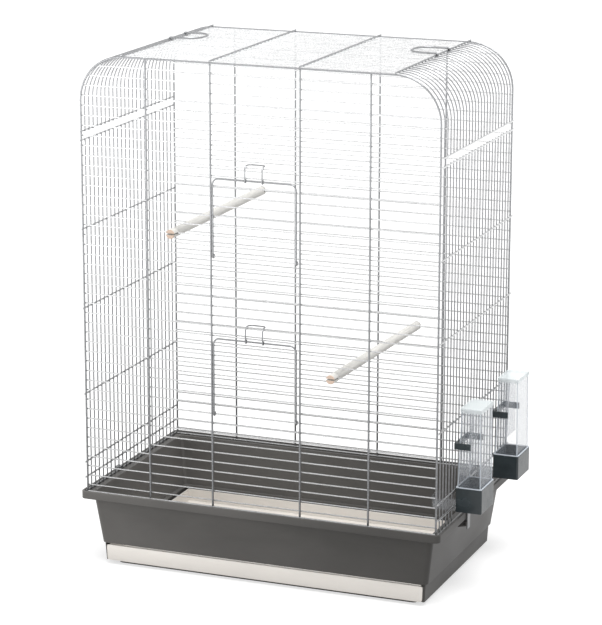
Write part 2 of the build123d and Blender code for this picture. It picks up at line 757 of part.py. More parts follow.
hopper_low_x = feeder_x + FEEDER_WALL + SEAT_GAP
hopper_far_x = feeder_x + FEEDER_REACH - FEEDER_WALL - SEAT_GAP
hopper_half = FEEDER_WIDTH / 2 - FEEDER_WALL - SEAT_GAP
hopper_bottom = feeder_bottom + FEEDER_WALL + SEAT_GAP


def hopper_block(y, inset, low, high, mode=Mode.ADD):
    """Tower block that leans in at its inner side, set in by a wall."""
    faces = []
    for level in (low, high):
        inner = hopper_low_x + width_at(level, hopper_bottom, hopper_top, 0, HOPPER_LEAN) + inset
        outer = hopper_far_x - width_at(level, hopper_bottom, hopper_top, 0, HOPPER_OUTER_LEAN) - inset
        with BuildSketch(Plane.XY.offset(level)) as outline:
            with Locations(((inner + outer) / 2, y)):
                Rectangle(outer - inner, 2 * (hopper_half - inset))
        faces.append(outline.sketch)
    loft(faces, mode=mode)


def feeder_hopper(y):
    """Clear tower, open above and below, with a divider in its upper part."""
    with BuildPart() as tower:
        hopper_block(y, 0, hopper_bottom, hopper_top)
        hopper_block(y, HOPPER_WALL, hopper_bottom, hopper_top, mode=Mode.SUBTRACT)
        with BuildSketch(Plane.YZ.offset(hopper_low_x - HOPPER_WALL)):
            with Locations((y, hopper_bottom + HOPPER_MOUTH / 2)):
                Rectangle(WINDOW_WIDTH, HOPPER_MOUTH)
        extrude(amount=HOPPER_WALL * 3, mode=Mode.SUBTRACT)
        with BuildSketch(Plane.XY.offset(divider_bottom)):
            with Locations((hopper_low_x + DIVIDER_SHARE, y)):
                Rectangle(HOPPER_WALL, 2 * hopper_half - HOPPER_WALL)
        extrude(amount=hopper_top - divider_bottom)
    return tower


def feeder_lid(y):
    """Cap over the tower, with a skirt outside its walls."""
    grow = LID_WALL + SEAT_GAP
    skirt_end = hopper_top - LID_SKIRT
    inner = hopper_low_x + width_at(skirt_end, hopper_bottom, hopper_top, 0, HOPPER_LEAN)
    outer = hopper_far_x - width_at(skirt_end, hopper_bottom, hopper_top, 0, HOPPER_OUTER_LEAN)
    middle = ((inner + outer) / 2, y)
    with BuildPart() as lid:
        with BuildSketch(Plane.XY.offset(skirt_end)):
            with Locations(middle):
                Rectangle(outer - inner + 2 * grow, 2 * (hopper_half + grow))
        extrude(amount=LID_SKIRT + SEAT_GAP + LID_THICKNESS)
        fillet(lid.edges().filter_by(Axis.Z), radius=LID_WALL)
        with BuildSketch(Plane.XY.offset(skirt_end)):
            with Locations(middle):
                Rectangle(outer - inner + 2 * SEAT_GAP, 2 * (hopper_half + SEAT_GAP))
        extrude(amount=LID_SKIRT + SEAT_GAP, mode=Mode.SUBTRACT)
    return lid


def feeder_holder(y):
    """Bracket on the side bars, with an arm beside each flank of the tower."""
    inner = side_bar_x + BAR_R + SEAT_GAP
    flank = hopper_half + SEAT_GAP
    with BuildPart() as holder:
        with BuildSketch(Plane.XY.offset(holder_level)):
            with Locations((inner + HOLDER_ARM / 2, y)):
                Rectangle(HOLDER_ARM, 2 * (flank + HOLDER_THICKNESS))
            with Locations((inner + HOLDER_THICKNESS + HOLDER_ARM / 2, y)):
                Rectangle(HOLDER_ARM, 2 * flank, mode=Mode.SUBTRACT)
        extrude(amount=HOLDER_HEIGHT)
    return holder


pieces = {
    "tray_basin": tray_basin,
    "tray_base": tray_base,
    "drawer": drawer,
    "front_frame": front_frame,
    "front_uprights": front_uprights,
    "front_sill": front_sill,
    "front_bars": front_bars,
    "back_frame": back_frame,
    "back_uprights": back_uprights,
    "back_sill": back_sill,
    "back_bars": back_bars,
    "left_rails": left_rails,
    "left_bars": left_bars,
    "right_rails": right_rails,
    "right_bars": right_bars,
    "left_shoulder_bars": left_shoulder_bars,
    "right_shoulder_bars": right_shoulder_bars,
    "roof_bars": roof_bars,
    "roof_rails": roof_rails,
    "upper_door_frame": upper_door_frame,
    "upper_door_bars": upper_door_rungs,
    "upper_door_latch": upper_door_latch,
    "lower_door_frame": lower_door_frame,
    "lower_door_bars": lower_door_rungs,
    "lower_door_latch": lower_door_latch,
    "left_handle": left_handle,
    "right_handle": right_handle,
    "upper_perch": upper_perch,
    "lower_perch": lower_perch,
    "left_latch": left_latch,
    "right_latch": right_latch,
    "latch_pins": latch_pins,
}
for name, y in zip(("front", "rear"), feeder_places):
    pieces[f"{name}_feeder_cup"] = feeder_cup(y)
    pieces[f"{name}_feeder_dish"] = feeder_dish(y)
    pieces[f"{name}_feeder_hopper"] = feeder_hopper(y)
    pieces[f"{name}_feeder_lid"] = feeder_lid(y)
    pieces[f"{name}_feeder_holder"] = feeder_holder(y)

os.makedirs("parts", exist_ok=True)
for name, piece in pieces.items():
    piece.part.label = name
    export_step(piece.part, f"parts/{name}.step")
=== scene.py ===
import math

import bpy
import numpy as np
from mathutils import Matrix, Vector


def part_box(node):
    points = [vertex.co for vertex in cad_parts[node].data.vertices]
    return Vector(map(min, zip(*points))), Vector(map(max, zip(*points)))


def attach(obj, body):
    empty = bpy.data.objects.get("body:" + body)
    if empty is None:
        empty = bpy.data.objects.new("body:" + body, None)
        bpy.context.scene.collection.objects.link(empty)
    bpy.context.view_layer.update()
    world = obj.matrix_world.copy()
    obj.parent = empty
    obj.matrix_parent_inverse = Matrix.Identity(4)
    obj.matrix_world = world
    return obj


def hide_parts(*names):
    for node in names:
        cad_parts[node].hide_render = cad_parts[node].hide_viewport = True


bl_info = {
    "name": "Bird cage",
    "version": (1, 0, 0),
    "blender": (4, 5, 0),
    "location": "3D View > Sidebar > Bird cage",
    "description": "Wire bird cage on a moulded tray, with doors, perches and side feeders",
    "category": "Add Mesh",
}

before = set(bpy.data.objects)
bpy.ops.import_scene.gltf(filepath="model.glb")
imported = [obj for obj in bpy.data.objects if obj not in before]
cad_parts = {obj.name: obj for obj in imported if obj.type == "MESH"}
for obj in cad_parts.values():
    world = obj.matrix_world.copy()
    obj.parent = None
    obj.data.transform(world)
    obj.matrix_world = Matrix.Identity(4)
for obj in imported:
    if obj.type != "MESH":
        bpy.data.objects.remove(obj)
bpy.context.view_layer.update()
FEEDERS = ("front", "rear")

# Heights of the rails across the side bars, the lowest first.
SIDE_RAILS = (0.14, 0.164, 0.271, 0.404, 0.5255, 0.6597, 0.673)

# How far each perch is turned from straight across the cage, in radians.
PERCH_TURNS = (("upper", 0.009), ("lower", 0.0356))

# Sockets of Blender's Mix node where it mixes colours.
MIX_FACTOR, MIX_FIRST, MIX_SECOND, MIX_RESULT = 0, 6, 7, 2


def length(name, text, default):
    """A size in metres, with its name, meaning and default."""
    return bpy.props.FloatProperty(
        name=name, description=text, default=default, unit="LENGTH", precision=4
    )


def colour(name, text, default):
    """A colour, with its name, meaning and default."""
    return bpy.props.FloatVectorProperty(
        name=name, description=text, default=default, size=3, subtype="COLOR", min=0, max=1
    )


def low(node):
    """Lowest corner of a CAD node."""
    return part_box(node)[0]


def high(node):
    """Highest corner of a CAD node."""
    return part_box(node)[1]


class CageSizes(bpy.types.PropertyGroup):
    """Sizes of the cage that its moulded and welded pieces follow."""

    bar_radius: length("Bar radius", "Half the thickness of a close-set bar", 0.001)
    rail_radius: length("Rail radius", "Half the thickness of a rail across the bars", 0.00125)
    frame_radius: length("Frame radius", "Half the thickness of the frame wires", 0.0015)
    bar_pitch: length("Bar pitch", "Distance between the bars of the front and back", 0.015)
    side_pitch: length("Side bar pitch", "Distance between the bars, a 24th of the depth", 0.332 / 24)
    upright: length("Upright place", "Distance of the outer uprights from the middle", 0.175)
    bay_left: length("Left edge of the door bay", "Place of the upright left of the doors", -0.0725)
    bay_right: length("Right edge of the door bay", "Place of the upright right of the doors", 0.0675)
    shoulder: length("Shoulder radius", "Bend of the frame wires at the roof", 0.068)
    weld: length("Weld size", "Half the width of a weld spot", 0.00145)
    weld_rise: length("Weld rise", "Half the thickness of a weld spot", 0.001015)

    rim_overhang: length("Rim overhang", "How far the rim lies out past the housing's sides", 0.0283)
    rim_wall: length("Rim wall", "Thickness of the tray's outer rim", 0.0036)
    rim_skirt: length("Rim height", "Height of the tray's outer rim", 0.012)
    rim_corner: length("Rim corner", "Corner radius of the tray", 0.008)
    rim_ledge: length("Ledge depth", "How far the ledge for the wire body is below the rim", 0.0035)
    ledge_wall: length("Ledge wall", "Thickness of the ledge for the wire body", 0.003)
    foot_side: length("Foot at the sides", "How far the wall's foot is past the housing", 0.0035)
    foot_front: length("Foot at the front", "How far the wall's foot is past the housing", 0.0014)
    taper_side: length("Taper at the sides", "How far the tray's wall leans out upwards", 0.011)
    taper_front: length("Taper at the front", "How far the tray's wall leans out upwards", 0.0078)
    floor_side: length("Floor at the sides", "Width of the basin's floor, wall counted", 0.0085)
    floor_front: length("Floor at the front", "Width of the basin's floor, wall counted", 0.0064)
    tray_wall: length("Tray wall", "Thickness of the tray's wall", 0.0025)
    tray_edge: length("Tray edge", "Softness of the tray's moulded edges", 0.0012)
    ear: length("Latch ear", "Half the height of a latch ear at its tip", 0.0036)
    ear_wall: length("Ear wall", "Thickness of a latch ear", 0.003)

    drawer_corner: length("Drawer corner", "Corner radius of the drawer's front", 0.004)
    drawer_edge: length("Drawer edge", "Softness of the drawer's edges", 0.0007)
    drawer_wall: length("Drawer wall", "Thickness of the drawer's pan", 0.002)
    drawer_face: length("Drawer front", "Thickness of the drawer's front panel", 0.003)
    drawer_lean: length("Drawer lean", "How far the front panel's ends lean in downwards", 0.0013)
    drawer_drop: length("Drawer front drop", "How far the front panel hangs below the pan", 0.0025)
    pan_corner: length("Pan corner", "Corner radius of the drawer's pan", 0.001)
    pan_border: length("Pan border", "Width of the border round the pan's floor", 0.01)

    tower_edge: length("Tower corner", "Half the thickness of a feeder tower's corner", 0.0008)
    tower_turn: length("Tower rounding", "Corner radius round the tower's foot", 0.0006)
    tower_lean: length("Inner lean", "How far the tower's inner wall leans in at the top", 0.0045)
    outer_lean: length("Outer lean", "How far the tower's outer wall leans in at the top", 0.0015)
    bead: length("Tower bead", "How far the bead at the tower's foot stands out", 0.0021)
    bead_rise: length("Bead height", "Height of the bead at the tower's foot", 0.00126)
    bead_corner: length("Bead corner", "Corner radius of the bead", 0.0025)

    clearance: length("Clearance", "Gap between pieces that move apart", 0.0003)
    small_edge: length("Small edge", "Softness of the edges of small moulded shapes", 0.0004)
    sliver: length("Sliver", "Small step that keeps two faces out of one plane", 0.0002)


class CageColours(bpy.types.PropertyGroup):
    """Colours of the cage's finishes."""

    # The two zinc colours are one plating: the pale one is painted light, the reflection that the
    # bars laid across catch, and the dark one is painted shade on the frames, uprights, side bars and
    # fittings.
    painted_light_zinc: colour("Zinc in painted light", "Plated cross bars", (0.8, 0.805, 0.81))
    painted_shade_zinc: colour("Zinc in painted shade", "Plated frames, uprights and side bars", (0.36, 0.365, 0.375))
    charcoal: colour("Charcoal", "Moulded tray", (0.108, 0.104, 0.099))
    cream: colour("Cream", "Moulded drawer", (0.83, 0.79, 0.74))
    slate: colour("Slate", "Feeder cups and holders", (0.028, 0.037, 0.041))
    clear: colour("Clear", "See-through dishes, towers and lids", (0.58, 0.62, 0.67))
    birch: colour("Birch", "Perches", (0.78, 0.765, 0.73))
    end_grain: colour("End grain", "Sawn ends of the perches", (0.72, 0.55, 0.44))


def softened(points, reach, steps=4, closed=False, most=0.45):
    """Line with rounded corners. Each corner is swapped for a quadratic Bezier curve that starts
    reach before it and ends reach after it, or at the most share of the run where that is short."""
    points = np.asarray(points, float)
    before = np.roll(points, 1, axis=0) - points
    after = np.roll(points, -1, axis=0) - points
    run_before = np.linalg.norm(before, axis=1, keepdims=True)
    run_after = np.linalg.norm(after, axis=1, keepdims=True)
    first = points + before * np.minimum(most, reach / run_before)
    last = points + after * np.minimum(most, reach / run_after)
    s = np.linspace(0, 1, steps + 1)[None, :, None]
    start, corner, end = first[:, None], points[:, None], last[:, None]
    curve = (1 - s) ** 2 * start + 2 * s * (1 - s) * corner + s**2 * end
    if closed:
        return curve.reshape(-1, points.shape[1])
    middle = curve[1:-1].reshape(-1, points.shape[1])
    return np.vstack([points[:1], middle, points[-1:]])


def carried(rings, corner_steps=9):
    """Rounded rectangle carried along a profile. A ring is (middle x, middle y, half width,
    half depth, corner radius, level). Point u of a ring is the centre of the nearest corner
    plus the radius times (cos u, sin u), and v runs along the profile."""
    quarter = np.linspace(0, np.pi / 2, corner_steps)
    angle = (quarter + np.arange(4)[:, None] * np.pi / 2).ravel()
    across = np.repeat([1, -1, -1, 1], corner_steps)
    along = np.repeat([1, 1, -1, -1], corner_steps)
    middle_x, middle_y, half_x, half_y, radius, level = np.asarray(rings, float).T[:, :, None]
    x = middle_x + across * (half_x - radius) + radius * np.cos(angle)
    y = middle_y + along * (half_y - radius) + radius * np.sin(angle)
    return np.stack([x, y, np.broadcast_to(level, x.shape)], axis=-1)


def skin(grid, closed=False, start_cap=False, end_cap=False):
    """Points and faces of a grid whose rows are rings: a quad between each two neighbours,
    the last row joined to the first if closed, and flat faces over the end rings if capped."""
    rows, columns = grid.shape[:2]
    index = np.arange(rows * columns).reshape(rows, columns)
    lower = index if closed else index[:-1]
    upper = np.roll(index, -1, axis=0) if closed else index[1:]
    beside_lower, beside_upper = np.roll(lower, -1, axis=1), np.roll(upper, -1, axis=1)
    quads = np.stack([lower, beside_lower, beside_upper, upper], axis=-1)
    faces = quads.reshape(-1, 4).tolist()
    if start_cap:
        faces.append(index[0][::-1].tolist())
    if end_cap:
        faces.append(index[-1].tolist())
    return grid.reshape(-1, 3), faces


def slab(outline, start, thickness, edge, share=0.3, sharpest=0.3):
    """Upright flat plate with soft edges, which faces the front. The outline, in X and Z and
    counter-clockwise from the front, is carried forward from the start through six rings: set in
    by the edge at both faces, then by a share of it, then full size in between. A point is set in
    along the mean of its two neighbouring edges' normals, divided by the squared cosine of half
    their turn. Twice that square is never taken below the sharpest value."""
    outline = np.asarray(outline, float)
    run = np.roll(outline, -1, axis=0) - outline
    run /= np.linalg.norm(run, axis=1, keepdims=True)
    normal = np.stack([run[:, 1], -run[:, 0]], axis=1)
    mean = normal + np.roll(normal, 1, axis=0)
    mean /= np.maximum(np.sum(mean**2, axis=1, keepdims=True) / 2, sharpest)
    inset = np.array([1, share, 0, 0, share, 1])[:, None, None] * edge
    near, far = share * edge, thickness - share * edge
    level = start + np.array([0, near, edge, thickness - edge, far, thickness])
    rings = outline[None] - inset * mean[None]
    forward = np.broadcast_to(level[:, None], rings.shape[:2])
    grid = np.stack([rings[..., 0], -forward, rings[..., 1]], axis=-1)
    return skin(grid, start_cap=True, end_cap=True)


def spots(centres, radii, around=8, up=5, hole=0.08):
    """A round spot at each centre: an ellipsoid whose point (u, v) is the centre plus the radii
    times (cos u sin v, sin u sin v, cos v). Angle v starts and stops a share of a half turn short
    of the ends, and small flat faces close them."""
    u = np.linspace(0, 2 * np.pi, around, endpoint=False)
    v = np.linspace(np.pi * (1 - hole), np.pi * hole, up)[:, None]
    unit = np.stack([np.cos(u) * np.sin(v), np.sin(u) * np.sin(v), np.cos(v) + 0 * u], axis=-1)
    one, shared = skin(unit, start_cap=True, end_cap=True)
    centres, radii = np.asarray(centres, float), np.asarray(radii, float)
    points = centres[:, None, :] + one[None] * radii[:, None, :]
    shifts = np.arange(len(points)) * len(one)
    faces = []
    for face in shared:
        faces += (np.asarray(face)[None] + shifts[:, None]).tolist()
    return points.reshape(-1, 3), faces


def piece(name, parts, material, body, replaced=(), smooth_angle=38):
    """One object of several skins, shaded smooth up to an angle, riding on a body."""
    points, faces, first = [], [], 0
    for part_points, part_faces in parts:
        points.append(part_points)
        faces += [[first + corner for corner in face] for face in part_faces]
        first += len(part_points)
    mesh = bpy.data.meshes.new(name)
    mesh.from_pydata(np.vstack(points).tolist(), [], faces)
    mesh.validate()
    mesh.shade_smooth()
    mesh.set_sharp_from_angle(angle=math.radians(smooth_angle))
    made = bpy.data.objects.new(name, mesh)
    bpy.context.scene.collection.objects.link(made)
    made.data.materials.append(material)
    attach(made, body)
    if replaced:
        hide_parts(*replaced)


def dress(nodes, material):
    """Give CAD nodes a finish, in every material slot that they have."""
    for name in nodes:
        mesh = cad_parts[name].data
        if not mesh.materials:
            mesh.materials.append(material)
        for number in range(len(mesh.materials)):
            mesh.materials[number] = material


def shader_of(name, base, roughness, **sockets):
    """New material, with its shader's plain sockets set and Object coordinates ready."""
    material = bpy.data.materials.new(name)
    material.use_nodes = True
    tree = material.node_tree
    shader = tree.nodes["Principled BSDF"]
    shader.inputs["Base Color"].default_value = (*base, 1)
    shader.inputs["Roughness"].default_value = roughness
    for socket, value in sockets.items():
        shader.inputs[socket.replace("_", " ")].default_value = value
    place = tree.nodes.new("ShaderNodeTexCoord").outputs["Object"]
    return material, tree, shader, place


def mapped(tree, place, stretch, turn=0.0):
    """Object coordinates turned about the vertical and stretched along the axes."""
    mapping = tree.nodes.new("ShaderNodeMapping")
    mapping.inputs["Rotation"].default_value = (0, 0, turn)
    mapping.inputs["Scale"].default_value = stretch
    tree.links.new(place, mapping.inputs["Vector"])
    return mapping.outputs["Vector"]


def coordinate(tree, place, axis):
    """One axis of the Object coordinates."""
    apart = tree.nodes.new("ShaderNodeSeparateXYZ")
    tree.links.new(place, apart.inputs[0])
    return apart.outputs[axis]


def cloud(tree, place, scale, detail, distortion=0.0):
    """Noise between 0 and 1 with a given number of blots to the metre."""
    noise = tree.nodes.new("ShaderNodeTexNoise")
    noise.inputs["Scale"].default_value = scale
    noise.inputs["Detail"].default_value = detail
    noise.inputs["Distortion"].default_value = distortion
    tree.links.new(place, noise.inputs["Vector"])
    return noise.outputs["Fac"]


def ranged(tree, value, to_low, to_high, from_low=0.3, from_high=0.7):
    """A value spread over a new range."""
    spread = tree.nodes.new("ShaderNodeMapRange")
    spread.inputs["From Min"].default_value = from_low
    spread.inputs["From Max"].default_value = from_high
    spread.inputs["To Min"].default_value = to_low
    spread.inputs["To Max"].default_value = to_high
    tree.links.new(value, spread.inputs["Value"])
    return spread.outputs["Result"]


def worked(tree, operation, value, other=0.0):
    """Result of a sum on a value and another value or a plain number."""
    node = tree.nodes.new("ShaderNodeMath")
    node.operation = operation
    tree.links.new(value, node.inputs[0])
    if isinstance(other, bpy.types.NodeSocket):
        tree.links.new(other, node.inputs[1])
    else:
        node.inputs[1].default_value = other
    return node.outputs[0]


def blended(tree, factor, first, second):
    """Two colours mixed by a factor. Each is a plain colour or the output of a node."""
    mix = tree.nodes.new("ShaderNodeMix")
    mix.data_type = "RGBA"
    tree.links.new(factor, mix.inputs[MIX_FACTOR])
    for source, socket in ((first, mix.inputs[MIX_FIRST]), (second, mix.inputs[MIX_SECOND])):
        if isinstance(source, bpy.types.NodeSocket):
            tree.links.new(source, socket)
        else:
            socket.default_value = (*source, 1)
    return mix.outputs[MIX_RESULT]


def raised(tree, shader, height, strength, distance):
    """Bump from a height."""
    bump = tree.nodes.new("ShaderNodeBump")
    bump.inputs["Strength"].default_value = strength
    bump.inputs["Distance"].default_value = distance
    tree.links.new(height, bump.inputs["Height"])
    tree.links.new(bump.outputs["Normal"], shader.inputs["Normal"])


def scaled(base, share):
    """A colour made darker or paler by a share."""
    return tuple(min(1.0, part * share) for part in base)


def toned(tree, factor, base, darkest, palest):
    """A colour mixed between two shares of itself by a factor."""
    return blended(tree, factor, scaled(base, darkest), scaled(base, palest))


def zinc_finish(name, base):
    """Plated wire: grey metal with fine crystals, in patches of uneven gloss, with painted light and
    shade: paler towards the roof and darker towards the tray."""
    material, tree, shader, place = shader_of(name, base, 0.34, Metallic=1.0)
    crystals = cloud(tree, place, 620, detail=2)
    patches = cloud(tree, place, 38, detail=2)
    tone = ranged(tree, crystals, 0, 1)
    painted_shade_low = toned(tree, tone, base, 0.36, 0.6)
    painted_light_high = toned(tree, tone, base, 0.78, 1.22)
    # Painted light: the grey is mixed from darker low down to paler high up.
    height = ranged(tree, coordinate(tree, place, "Z"), 0, 1, from_low=0.1, from_high=0.75)
    tree.links.new(blended(tree, height, painted_shade_low, painted_light_high), shader.inputs["Base Color"])
    tree.links.new(ranged(tree, patches, 0.26, 0.44), shader.inputs["Roughness"])
    raised(tree, shader, crystals, strength=0.25, distance=0.00004)
    return material


def charcoal_finish(name, base):
    """Moulded tray plastic: fine spark texture and a faint flow pattern, with painted light and
    shade: paler at the left end and darker towards the right."""
    material, tree, shader, place = shader_of(name, base, 0.45, Specular_IOR_Level=0.15)
    flow = cloud(tree, mapped(tree, place, (1, 1, 2.5)), 7, detail=4, distortion=0.6)
    grain = cloud(tree, place, 1500, detail=1)
    tone = ranged(tree, flow, 0, 1)
    painted_light_left = toned(tree, tone, base, 1.1, 1.35)
    painted_shade_right = toned(tree, tone, base, 0.62, 0.75)
    # Painted light: the tray is paler at the left end, where the light falls, and darker to the
    # right.
    across = ranged(tree, coordinate(tree, place, "X"), 0, 1, from_low=-0.28, from_high=0.28)
    tree.links.new(blended(tree, across, painted_light_left, painted_shade_right), shader.inputs["Base Color"])
    tree.links.new(ranged(tree, flow, 0.34, 0.44), shader.inputs["Roughness"])
    raised(tree, shader, grain, strength=0.16, distance=0.00006)
    return material


def cream_finish(name, base):
    """Smooth drawer plastic: warm white with faint sink marks and a soft gloss."""
    material, tree, shader, place = shader_of(name, base, 0.33)
    flow = cloud(tree, mapped(tree, place, (1, 1, 3)), 9, detail=3, distortion=0.4)
    fine = cloud(tree, place, 900, detail=1)
    surface = toned(tree, ranged(tree, flow, 0, 1), base, 0.965, 1.02)
    tree.links.new(surface, shader.inputs["Base Color"])
    tree.links.new(ranged(tree, flow, 0.28, 0.4), shader.inputs["Roughness"])
    raised(tree, shader, fine, strength=0.08, distance=0.00005)
    return material


def slate_finish(name, base):
    """Glossy dark feeder plastic with slight flow marks."""
    material, tree, shader, place = shader_of(name, base, 0.24, Specular_IOR_Level=0.35)
    flow = cloud(tree, place, 45, detail=3)
    surface = toned(tree, ranged(tree, flow, 0, 1), base, 0.85, 1.25)
    tree.links.new(surface, shader.inputs["Base Color"])
    tree.links.new(ranged(tree, flow, 0.17, 0.3), shader.inputs["Roughness"])
    return material


def clear_finish(name, base, haze, edge_haze):
    """Clear styrene: see-through from straight ahead, milky at a slant, with slow moulding
    ripples. The haze is how much the plastic covers straight ahead and at a slant."""
    material, tree, shader, place = shader_of(name, base, 0.08, IOR=1.55)
    slant = tree.nodes.new("ShaderNodeLayerWeight")
    slant.inputs["Blend"].default_value = 0.5
    veil = ranged(tree, slant.outputs["Facing"], haze, edge_haze, from_low=0.1, from_high=0.7)
    tree.links.new(veil, shader.inputs["Alpha"])
    ripple = cloud(tree, mapped(tree, place, (1, 1, 0.4)), 60, detail=2)
    tree.links.new(ranged(tree, ripple, 0.05, 0.16), shader.inputs["Roughness"])
    raised(tree, shader, ripple, strength=0.08, distance=0.0002)
    return material


def birch_finish(name, colours, turn, front, back):
    """Sanded birch: fine streaks along the dowel, and browner wood at its two sawn ends, where
    the distance from the dowel's middle is half its length less a hair."""
    material, tree, shader, place = shader_of(name, colours.birch, 0.55)
    streaks = cloud(tree, mapped(tree, place, (1, 0.035, 1), turn), 420, detail=4, distortion=0.3)
    side = toned(tree, ranged(tree, streaks, 0, 1), colours.birch, 0.9, 1.08)
    middle, reach = (front + back) / 2, (back - front) / 2
    from_middle = worked(tree, "SUBTRACT", coordinate(tree, place, "Y"), middle)
    distance = worked(tree, "ABSOLUTE", from_middle)
    at_end = ranged(tree, distance, 0, 1, from_low=reach - 0.0008, from_high=reach - 0.0004)
    tree.links.new(blended(tree, at_end, side, colours.end_grain), shader.inputs["Base Color"])
    tree.links.new(ranged(tree, streaks, 0.48, 0.66), shader.inputs["Roughness"])
    raised(tree, shader, streaks, strength=0.2, distance=0.0001)
    return material


def finish(name):
    """The finish of that name, made once and shared by the pieces."""
    colours = bpy.context.scene.cage_colours
    makers = {
        # Both zinc finishes are the same plating, one with painted light and one with painted shade.
        "zinc with painted light": lambda: zinc_finish(name, colours.painted_light_zinc),
        "zinc with painted shade": lambda: zinc_finish(name, colours.painted_shade_zinc),
        "charcoal plastic": lambda: charcoal_finish(name, colours.charcoal),
        "cream plastic": lambda: cream_finish(name, colours.cream),
        "slate plastic": lambda: slate_finish(name, colours.slate),
        "clear wall": lambda: clear_finish(name, colours.clear, 0.08, 0.26),
        "clear dish": lambda: clear_finish(name, colours.clear, 0.03, 0.12),
        "hazy lid": lambda: clear_finish(name, scaled(colours.clear, 1.6), 0.3, 0.5),
        # Paler and hazier than the walls: a painted highlight on the tower's corners and bead.
        "clear edge with painted highlight": lambda: clear_finish(name, scaled(colours.clear, 1.35), 0.45, 0.65),
    }
    return bpy.data.materials.get(name) or makers[name]()


def wire_ends(node, axis, radius):
    """Middle lines of a node's first and last wire along an axis."""
    return getattr(low(node), axis) + radius, getattr(high(node), axis) - radius


def wire_places(node, axis, radius, pitch):
    """Middle lines of a node's evenly spaced wires along an axis: the first one's plus whole
    pitches, up to the last one's."""
    first, last = wire_ends(node, axis, radius)
    return first + pitch * np.arange(round((last - first) / pitch) + 1)


def crossings(first, second):
    """Every pair of two lists of places."""
    a, b = np.meshgrid(first, second, indexing="ij")
    return a.ravel(), b.ravel()


class BIRDCAGE_OT_tray(bpy.types.Operator):
    """Moulded tray: a tapered basin with a stepped rim, on its drawer housing"""

    bl_idname = "birdcage.tray"
    bl_label = "Tray"

    def execute(self, context):
        size = context.scene.cage_sizes
        housing = high("tray_base")
        top, step = high("tray_basin").z, low("tray_basin").z
        ledge, skirt = top - size.rim_ledge, top - size.rim_skirt
        plate, floor = ledge - size.ledge_wall, step + size.tray_wall
        outer_x, outer_y = housing.x + size.rim_overhang, high("tray_basin").y
        inner_x, inner_y = outer_x - size.rim_wall, outer_y - size.rim_wall
        low_x, low_y = housing.x + size.foot_side, housing.y + size.foot_front
        top_x, top_y = low_x + size.taper_side, low_y + size.taper_front
        well_x, well_y = low_x - size.floor_side, low_y - size.floor_front
        corner, inside = size.rim_corner, size.rim_corner - size.rim_wall
        wall_corner = corner - size.tray_wall
        profile = [
            (0, 0, low_x, low_y, corner, step),
            (0, 0, top_x, top_y, corner, plate),
            (0, 0, inner_x, inner_y, inside, plate),
            (0, 0, inner_x, inner_y, inside, skirt),
            (0, 0, outer_x, outer_y, corner, skirt),
            (0, 0, outer_x, outer_y, corner, top),
            (0, 0, inner_x, inner_y, inside, top),
            (0, 0, inner_x, inner_y, inside, ledge),
            (0, 0, top_x - size.ledge_wall, top_y - size.ledge_wall, wall_corner, ledge),
            (0, 0, low_x - size.tray_wall, low_y - size.tray_wall, wall_corner, floor),
            (0, 0, well_x, well_y, wall_corner, floor),
            (0, 0, well_x, well_y, wall_corner, step),
        ]
        rings = softened(profile, size.tray_edge, closed=True)
        basin = skin(carried(rings, corner_steps=12), closed=True)
        plastic = finish("charcoal plastic")
        ears = self.ears(size, top_x - size.tray_wall)
        piece("basin", [basin, *ears], plastic, "cage", ["tray_basin"])
        dress(["tray_base"], plastic)
        return {"FINISHED"}

    def ears(self, size, root):
        """Two ears at each side that hold the latch pin, rooted in the wall and thinner at the
        tip: plates whose outline is taken counter-clockwise at either side."""
        tip = high("tray_basin").x
        pin = (low("latch_pins").z + high("latch_pins").z) / 2
        starts = (-high("latch_pins").y, -low("latch_pins").y - size.ear_wall)
        ears = []
        for side in (-1, 1):
            outline = [
                (side * root, pin - 2 * size.ear),
                (side * tip, pin - size.ear),
                (side * tip, pin + size.ear),
                (side * root, pin + size.ear),
            ]
            outline = softened(outline[::side], size.tray_edge, closed=True)
            for start in starts:
                ears.append(slab(outline, start, size.ear_wall, size.small_edge))
        return ears


class BIRDCAGE_OT_drawer(bpy.types.Operator):
    """Pull-out drawer: a front panel with rounded top corners and a shallow pan"""

    bl_idname = "birdcage.drawer"
    bl_label = "Drawer"

    def execute(self, context):
        size = context.scene.cage_sizes
        bottom, top = low("drawer").z, high("drawer").z
        front, back = low("drawer").y, high("drawer").y
        half_top = high("drawer").x
        half_low = half_top - size.drawer_lean
        outline = [(-half_low, bottom), (half_low, bottom), (half_top, top), (-half_top, top)]
        corners = softened(outline, size.drawer_corner, steps=8, closed=True)
        face = size.drawer_face
        panel = slab(corners, -front - face, face, size.drawer_edge)

        wall, corner = size.drawer_wall, size.pan_corner
        base = bottom + size.drawer_drop
        start = front + face - size.sliver
        middle = (start + back) / 2
        half_x, half_y = half_low - wall, (back - start) / 2
        inner_x, inner_y = half_x - wall, half_y - wall
        profile = [
            (0, middle, half_x, half_y, corner, base),
            (0, middle, half_x, half_y, corner, top),
            (0, middle, inner_x, inner_y, corner, top),
            (0, middle, inner_x, inner_y, corner, base + wall),
            (0, middle, inner_x - size.pan_border, inner_y - size.pan_border, corner, base + wall),
        ]
        pan = skin(carried(softened(profile, size.drawer_edge)), start_cap=True, end_cap=True)
        plastic = finish("cream plastic")
        piece("drawer_tray", [panel, pan], plastic, "drawer", ["drawer"])
        return {"FINISHED"}


